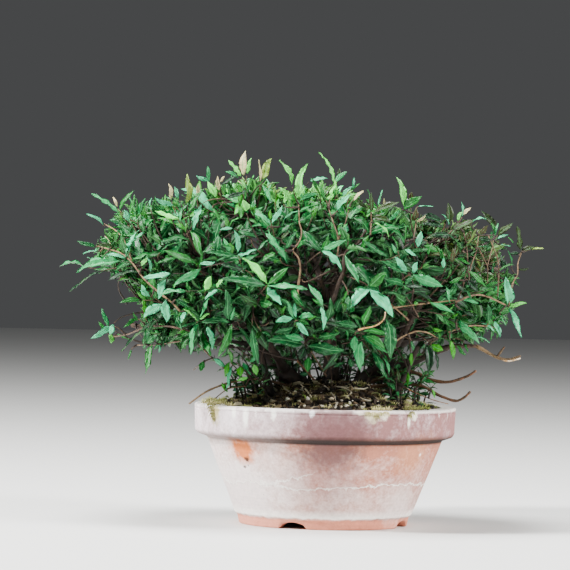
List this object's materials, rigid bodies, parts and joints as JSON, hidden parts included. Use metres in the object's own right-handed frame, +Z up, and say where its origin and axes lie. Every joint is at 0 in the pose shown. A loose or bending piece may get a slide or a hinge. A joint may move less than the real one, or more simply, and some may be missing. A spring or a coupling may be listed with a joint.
{
  "type": "asiatic jasmine bonsai",
  "caption": "Small-leaved Asiatic jasmine grown as a bonsai, a broad dome of lance-shaped leaves on slender twisting stems, in a wide round terracotta pot with a banded rim.",
  "frame": {"origin": "under the middle of the whole's footprint, on the surface that the pot's foot stands on", "axes": "+Z up; the viewer's side is -Y; +X to the viewer's right, along the crown's length"},
  "size_m": [0.3358, 0.2152, 0.254],
  "materials": {
    "terracotta": "matte",
    "net": "matte",
    "soil": "matte",
    "bark": "matte",
    "leaf": "satin"
  },
  "bodies": {
    "root": {"pot": "terracotta", "drainage_mesh": "net", "soil": "soil", "wood": "bark", "spray_01": "leaf", "spray_02": "leaf", "spray_03": "leaf", "spray_04": "leaf", "spray_05": "leaf", "spray_06": "leaf", "spray_07": "leaf", "spray_08": "leaf", "spray_09": "leaf", "spray_10": "leaf", "spray_11": "leaf", "spray_12": "leaf", "spray_13": "leaf", "spray_14": "leaf", "spray_15": "leaf", "spray_16": "leaf", "spray_17": "leaf", "spray_18": "leaf", "spray_19": "leaf", "spray_20": "leaf", "spray_21": "leaf", "spray_22": "leaf", "spray_23": "leaf", "spray_24": "leaf", "spray_25": "leaf", "spray_26": "leaf", "spray_27": "leaf", "spray_28": "leaf", "spray_29": "leaf", "spray_30": "leaf", "spray_31": "leaf", "spray_32": "leaf", "spray_33": "leaf", "spray_34": "leaf", "spray_35": "leaf", "spray_36": "leaf", "spray_37": "leaf", "spray_38": "leaf", "spray_39": "leaf", "spray_40": "leaf", "spray_41": "leaf", "spray_42": "leaf", "spray_43": "leaf", "spray_44": "leaf", "spray_45": "leaf", "spray_46": "leaf"}
  },
  "joints": []
}
